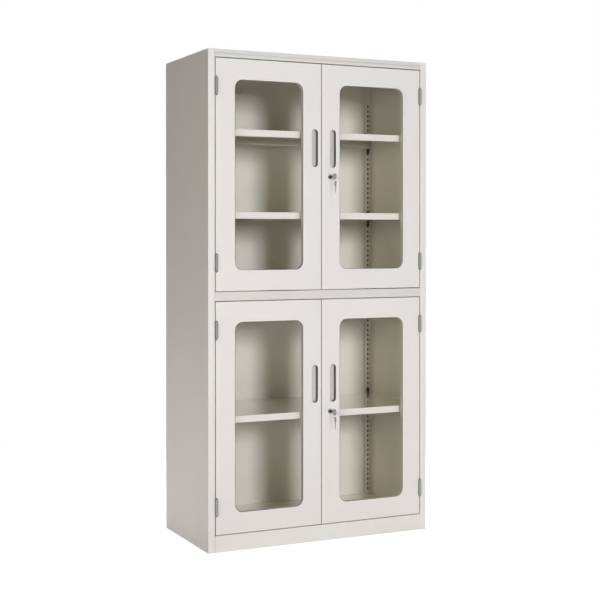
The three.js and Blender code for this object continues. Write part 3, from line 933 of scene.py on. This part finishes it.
def shelf_clips(tree):
    """The clips of each shelf on the four posts."""
    size = sizes()
    clip = linked_object("shelf_clip", clip_shape())
    for row in ("front", "rear"):
        points = bpy.data.meshes.new(row)
        places = []
        for side in ("left", "right"):
            low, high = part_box(f"{side}_{row}_post")
            x = (low.x + size.slot_from_corner) if side == "left" else (high.x - size.slot_from_corner)
            y = (low.y + size.post_sheet) if row == "front" else (high.y - size.post_sheet)
            places += [(x, y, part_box(shelf)[1].z) for shelf in SHELVES]
        points.from_pydata(places, [], [])
        mesh = grown(tree, {
            "Fitting": clip,
            "Turn": 0.0 if row == "front" else math.pi,
            "Material": finish("clip_black"),
        }, points)
        place_piece(f"{row}_shelf_clips", mesh, finish("clip_black"), "cabinet")
    bpy.data.objects.remove(clip)


# Pull cups


def stadium_ring(shape, middle, half, tall, y):
    """A ring with round ends, half as wide and tall as said, at a depth."""
    ring = []
    for end in (1, -1):
        for step in range(ROUND_STEPS + 1):
            angle = math.pi * step / ROUND_STEPS
            x = end * half * math.cos(angle)
            z = end * (tall - half + half * math.sin(angle))
            ring.append(shape.verts.new((middle.x + x, y, middle.z + z)))
    return ring


def rounding(radius, reverse=False):
    """Steps of a quarter round, as shares of its radius inwards and upwards."""
    angles = [math.pi / 2 * step / FILLET_STEPS for step in range(FILLET_STEPS + 1)]
    if reverse:
        angles.reverse()
    return [(radius * (1 - math.sin(angle)), radius * (1 - math.cos(angle))) for angle in angles]


def cup_mesh(node):
    """A pressed cup: rounded floor, straight wall, and a flange that lies behind the sheet."""
    size = sizes()
    low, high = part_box(node)
    middle = (low + high) / 2
    half = (high.x - low.x) / 2 - size.cup_flange
    tall = (high.z - low.z) / 2 - size.cup_flange
    wall = size.cup_wall
    floor = high.y - wall
    profile = [(-inward, floor - rise) for inward, rise in rounding(size.cup_radius)]
    profile += [
        (0, low.y),
        (size.cup_flange, low.y),
        (size.cup_flange, low.y + wall),
        (wall, low.y + wall),
    ]
    outside = rounding(size.cup_radius + wall, reverse=True)
    profile += [(wall - inward, high.y - rise) for inward, rise in outside]
    shape = bmesh.new()
    rings = [stadium_ring(shape, middle, half + out, tall + out, y) for out, y in profile]
    skin(shape, rings)
    shape.faces.new(rings[0])
    shape.faces.new(rings[-1])
    bmesh.ops.recalc_face_normals(shape, faces=shape.faces)
    return smoothed(as_mesh(shape, node))


# Dark window rings


def window_ring(shape, middle, half, tall, radius, y):
    """A ring round a window with rounded corners, at a depth."""
    ring = []
    corners = ((1, 1, 0), (-1, 1, 1), (-1, -1, 2), (1, -1, 3))
    for right, up, quarter in corners:
        for step in range(FILLET_STEPS + 1):
            angle = math.pi / 2 * (quarter + step / FILLET_STEPS)
            x = right * (half - radius) + radius * math.cos(angle)
            z = up * (tall - radius) + radius * math.sin(angle)
            ring.append(shape.verts.new((middle.x + x, y, middle.z + z)))
    return ring


def window_dark_ring(door):
    """A dark ring just inside a window's edge, which shows as a thin dark line there."""
    size = sizes()
    low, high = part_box(f"{door}_door_pan")
    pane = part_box(f"{door}_door_glass")[0].y
    middle = (low + high) / 2
    half = (high.x - low.x) / 2 - size.window_border
    tall = (high.z - low.z) / 2 - size.window_border
    front = low.y + size.dark_ring_inset
    back = pane - MERGE_DISTANCE
    shape = bmesh.new()
    rings = []
    for inward, y in ((0, back), (0, front), (size.dark_ring_width, front), (size.dark_ring_width, back)):
        radius = size.window_radius - inward
        rings.append(window_ring(shape, middle, half - inward, tall - inward, radius, y))
    skin(shape, rings + rings[:1])
    bmesh.ops.recalc_face_normals(shape, faces=shape.faces)
    mesh = smoothed(as_mesh(shape, "seal"))
    place_piece(f"{door}_window_seal", mesh, finish("seal_rubber"), f"{door}_door")


# Retainer screws


def screw_shape():
    """A domed screw head with a round recess, facing +Y."""
    size = sizes()
    shape = bmesh.new()
    rings = []
    for radius, height in SCREW_PROFILE:
        ring = []
        for step in range(SCREW_STEPS):
            angle = step * math.tau / SCREW_STEPS
            across = size.screw_radius * radius
            place = (across * math.cos(angle), size.screw_height * height, across * math.sin(angle))
            ring.append(shape.verts.new(place))
        rings.append(ring)
    skin(shape, rings)
    shape.faces.new(rings[-1])
    shape.faces.new(rings[0])
    bmesh.ops.recalc_face_normals(shape, faces=shape.faces)
    return as_mesh(shape, "screw")


def retainer_screws(door, tree, screw):
    """The screws round one door's retainer."""
    size = sizes()
    low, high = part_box(f"{door}_glass_retainer")
    inset = size.retainer_flange / 2 - size.retainer_sheet / 2
    width = high.x - low.x - inset * 2
    height = high.z - low.z - inset * 2
    middle = (low + high) / 2
    rounds = math.ceil((width + height) * 2 / size.screw_spacing)
    metal = finish("nickel_plating")
    mesh = grown(tree, {
        "Fitting": screw,
        "Width": width,
        "Height": height,
        "Spacing": (width + height) * 2 / rounds,
        "Place": (middle.x, low.y + size.retainer_sheet, middle.z),
        "Material": metal,
    })
    place_piece(f"{door}_retainer_screws", mesh, metal, f"{door}_door")


# Operators


class CABINET_OT_carcass(Operator):
    """Rounds and paints the panels, rails and shelves"""

    bl_idname = "cabinet.carcass"
    bl_label = "Carcass"

    def execute(self, context):
        size = sizes()
        for node in (*PANELS, *SHELVES):
            fold = size.lid_radius if node == "top_panel" else size.fold_radius
            dress(node, COATS.get(node, "powder_coat"), fold, size.cut_radius)
        return {"FINISHED"}


class CABINET_OT_posts(Operator):
    """Makes the slotted posts and the shelf clips"""

    bl_idname = "cabinet.posts"
    bl_label = "Posts and clips"

    def execute(self, context):
        run = slotted_run_tree()
        for post in POSTS:
            slotted_post(post, run)
        painted_slot_shadow()
        shelf_clips(points_tree())
        return {"FINISHED"}


class CABINET_OT_doors(Operator):
    """Rounds and paints the doors, and sets their glass and screws"""

    bl_idname = "cabinet.doors"
    bl_label = "Doors"

    def execute(self, context):
        size = sizes()
        tree = frame_tree()
        screw = linked_object("retainer_screw", screw_shape())
        for door in DOORS:
            dress(f"{door}_door_pan", "powder_coat", size.fold_radius, size.cut_radius)
            dress(f"{door}_glass_retainer", "powder_coat", size.cut_radius, size.cut_radius)
            glass = frame["nodes"][f"{door}_door_glass"].data.materials
            glass.clear()
            glass.append(finish("clear_pane"))
            window_dark_ring(door)
            retainer_screws(door, tree, screw)
        bpy.data.objects.remove(screw)
        return {"FINISHED"}


class CABINET_OT_pulls(Operator):
    """Rounds and finishes the pull cups"""

    bl_idname = "cabinet.pulls"
    bl_label = "Pulls"

    def execute(self, context):
        for door in DOORS:
            stand_in(f"{door}_pull_cup", cup_mesh(f"{door}_pull_cup"), "pull_satin")
        return {"FINISHED"}


class CABINET_OT_hinges(Operator):
    """Rounds and finishes the hinges"""

    bl_idname = "cabinet.hinges"
    bl_label = "Hinges"

    def execute(self, context):
        radius = sizes().fitting_radius
        for door in DOORS:
            for end in ("top", "bottom"):
                for leaf in ("frame_leaf", "door_leaf"):
                    dress(f"{door}_{end}_hinge_{leaf}", "hinge_steel", radius, radius)
        return {"FINISHED"}


class CABINET_OT_locks(Operator):
    """Rounds and finishes the locks, cams and keys"""

    bl_idname = "cabinet.locks"
    bl_label = "Locks and keys"

    def execute(self, context):
        radius = sizes().fitting_radius
        metals = {
            "lock_body": "nickel_plating",
            "lock_plug": "dark_plating",
            "lock_cam": "hinge_steel",
            "key": "nickel_plating",
            "key_ring": "nickel_plating",
            "spare_key": "nickel_plating",
        }
        for door in LOCKED_DOORS:
            for piece, metal in metals.items():
                dress(f"{door}_{piece}", metal, radius, radius)
        return {"FINISHED"}


class CABINET_OT_stage(Operator):
    """Makes the floor, the surroundings, the lamps and the camera"""

    bl_idname = "cabinet.stage"
    bl_label = "Stage"

    def execute(self, context):
        settings = context.scene.cabinet_stage
        add_floor(settings)
        add_surroundings(context.scene, settings)
        for lamp in LAMPS:
            add_lamp(settings, lamp)
        add_camera(context.scene, settings)
        context.scene.view_settings.view_transform = "Standard"
        return {"FINISHED"}


# Stage


def seen_directly(tree):
    """1 for what the camera sees straight, in gloss or through glass."""
    path = tree.nodes.new("ShaderNodeLightPath")
    total = path.outputs["Is Camera Ray"]
    for kind in ("Is Glossy Ray", "Is Transmission Ray"):
        either = tree.nodes.new("ShaderNodeMath")
        either.operation = "MAXIMUM"
        tree.links.new(total, either.inputs[0])
        tree.links.new(path.outputs[kind], either.inputs[1])
        total = either.outputs["Value"]
    return total


def add_floor(settings):
    """A pale floor that takes the shadow and fades into the white background."""
    shape = bmesh.new()
    bmesh.ops.create_grid(shape, x_segments=1, y_segments=1, size=FLOOR_HALF_SIZE)
    floor = linked_object("floor", as_mesh(shape, "floor"))
    floor.location.z = -FLOOR_DROP
    material, tree, shader = new_material("pale_floor")
    shader.inputs["Base Color"].default_value = (*settings.floor_colour, 1)
    shader.inputs["Roughness"].default_value = 0.9
    shader.inputs["Specular IOR Level"].default_value = 0.1
    seen = seen_directly(tree)
    glow = tree.nodes.new("ShaderNodeEmission")
    lifted = tree.nodes.new("ShaderNodeAddShader")
    white = tree.nodes.new("ShaderNodeEmission")
    fade = tree.nodes.new("ShaderNodeMixShader")
    near = tree.nodes.new("ShaderNodeMath")
    near.operation = "MULTIPLY"
    near.inputs[1].default_value = settings.floor_glow
    place = tree.nodes.new("ShaderNodeTexCoord")
    reach = tree.nodes.new("ShaderNodeVectorMath")
    reach.operation = "LENGTH"
    spread = tree.nodes.new("ShaderNodeMapRange")
    spread.interpolation_type = "SMOOTHSTEP"
    spread.inputs["From Min"].default_value = settings.floor_radius * FLOOR_FADE_START
    spread.inputs["From Max"].default_value = settings.floor_radius
    faded = tree.nodes.new("ShaderNodeMath")
    faded.operation = "MULTIPLY"
    link = tree.links.new
    link(seen, near.inputs[0])
    link(near.outputs["Value"], glow.inputs["Strength"])
    link(shader.outputs["BSDF"], lifted.inputs[0])
    link(glow.outputs["Emission"], lifted.inputs[1])
    link(place.outputs["Object"], reach.inputs[0])
    link(reach.outputs["Value"], spread.inputs["Value"])
    link(spread.outputs["Result"], faded.inputs[0])
    link(seen, faded.inputs[1])
    link(faded.outputs["Value"], fade.inputs["Fac"])
    link(lifted.outputs["Shader"], fade.inputs[1])
    link(white.outputs["Emission"], fade.inputs[2])
    link(fade.outputs["Shader"], tree.nodes["Material Output"].inputs["Surface"])
    floor.data.materials.append(material)


def add_surroundings(scene, settings):
    """A white background with a lower light from all round."""
    world = bpy.data.worlds.new("studio")
    world.use_nodes = True
    scene.world = world
    tree = world.node_tree
    lit = tree.nodes["Background"]
    lit.inputs["Color"].default_value = (*settings.ambient_colour, 1)
    lit.inputs["Strength"].default_value = settings.ambient
    white = tree.nodes.new("ShaderNodeBackground")
    white.inputs["Color"].default_value = (1, 1, 1, 1)
    choice = tree.nodes.new("ShaderNodeMixShader")
    tree.links.new(seen_directly(tree), choice.inputs["Fac"])
    tree.links.new(lit.outputs["Background"], choice.inputs[1])
    tree.links.new(white.outputs["Background"], choice.inputs[2])
    tree.links.new(choice.outputs["Shader"], tree.nodes["World Output"].inputs["Surface"])


def add_lamp(settings, name):
    """A softbox that faces its target. Metal and glass mirror the white surroundings in its place."""
    lamp = bpy.data.lights.new(name + "_lamp", "AREA")
    lamp.shape = "RECTANGLE"
    lamp.size, lamp.size_y = getattr(settings, name + "_size")
    lamp.energy = getattr(settings, name + "_power")
    lamp.color = getattr(settings, name + "_colour")
    holder = bpy.data.objects.new(name + "_lamp", lamp)
    holder.location = getattr(settings, name + "_place")
    holder.visible_glossy = False
    aim = Vector(LAMPS[name]["target"]) - holder.location
    holder.rotation_euler = aim.to_track_quat("-Z", "Y").to_euler()
    bpy.context.scene.collection.objects.link(holder)


def add_camera(scene, settings):
    """The camera at the photograph's place and angle."""
    lens = bpy.data.cameras.new("camera")
    lens.lens = settings.lens
    lens.shift_y = settings.shift
    camera = bpy.data.objects.new("camera", lens)
    camera.location = settings.camera_place
    camera.rotation_euler = (math.pi / 2 + settings.camera_pitch, 0, -settings.camera_yaw)
    scene.collection.objects.link(camera)
    scene.camera = camera


class CABINET_PT_panel(Panel):
    """Lists the cabinet's groups, sizes and finishes"""

    bl_idname = "CABINET_PT_panel"
    bl_label = "Medical cabinet"
    bl_space_type = "VIEW_3D"
    bl_region_type = "UI"
    bl_category = "Cabinet"

    def draw(self, context):
        for operator in OPERATORS:
            self.layout.operator(operator.bl_idname)
        for label, group in GROUPS.items():
            column = self.layout.column()
            for name in group.__annotations__:
                column.prop(getattr(context.scene, label), name)


OPERATORS = (
    CABINET_OT_carcass,
    CABINET_OT_posts,
    CABINET_OT_doors,
    CABINET_OT_pulls,
    CABINET_OT_hinges,
    CABINET_OT_locks,
    CABINET_OT_stage,
)
GROUPS = {
    "cabinet_sizes": CabinetSizes,
    "cabinet_finishes": CabinetFinishes,
    "cabinet_stage": CabinetStage,
}
CLASSES = (*GROUPS.values(), *OPERATORS, CABINET_PT_panel)


def register():
    """Registers the classes and puts their properties on the scene."""
    for each in CLASSES:
        bpy.utils.register_class(each)
    for name, group in GROUPS.items():
        setattr(bpy.types.Scene, name, PointerProperty(type=group))


def unregister():
    """Takes the properties and classes away again."""
    for name in GROUPS:
        delattr(bpy.types.Scene, name)
    for each in reversed(CLASSES):
        bpy.utils.unregister_class(each)


def main():
    """Builds every group."""
    register()
    bpy.ops.cabinet.carcass()
    bpy.ops.cabinet.posts()
    bpy.ops.cabinet.doors()
    bpy.ops.cabinet.pulls()
    bpy.ops.cabinet.hinges()
    bpy.ops.cabinet.locks()
    bpy.ops.cabinet.stage()


if __name__ == "__main__":
    main()
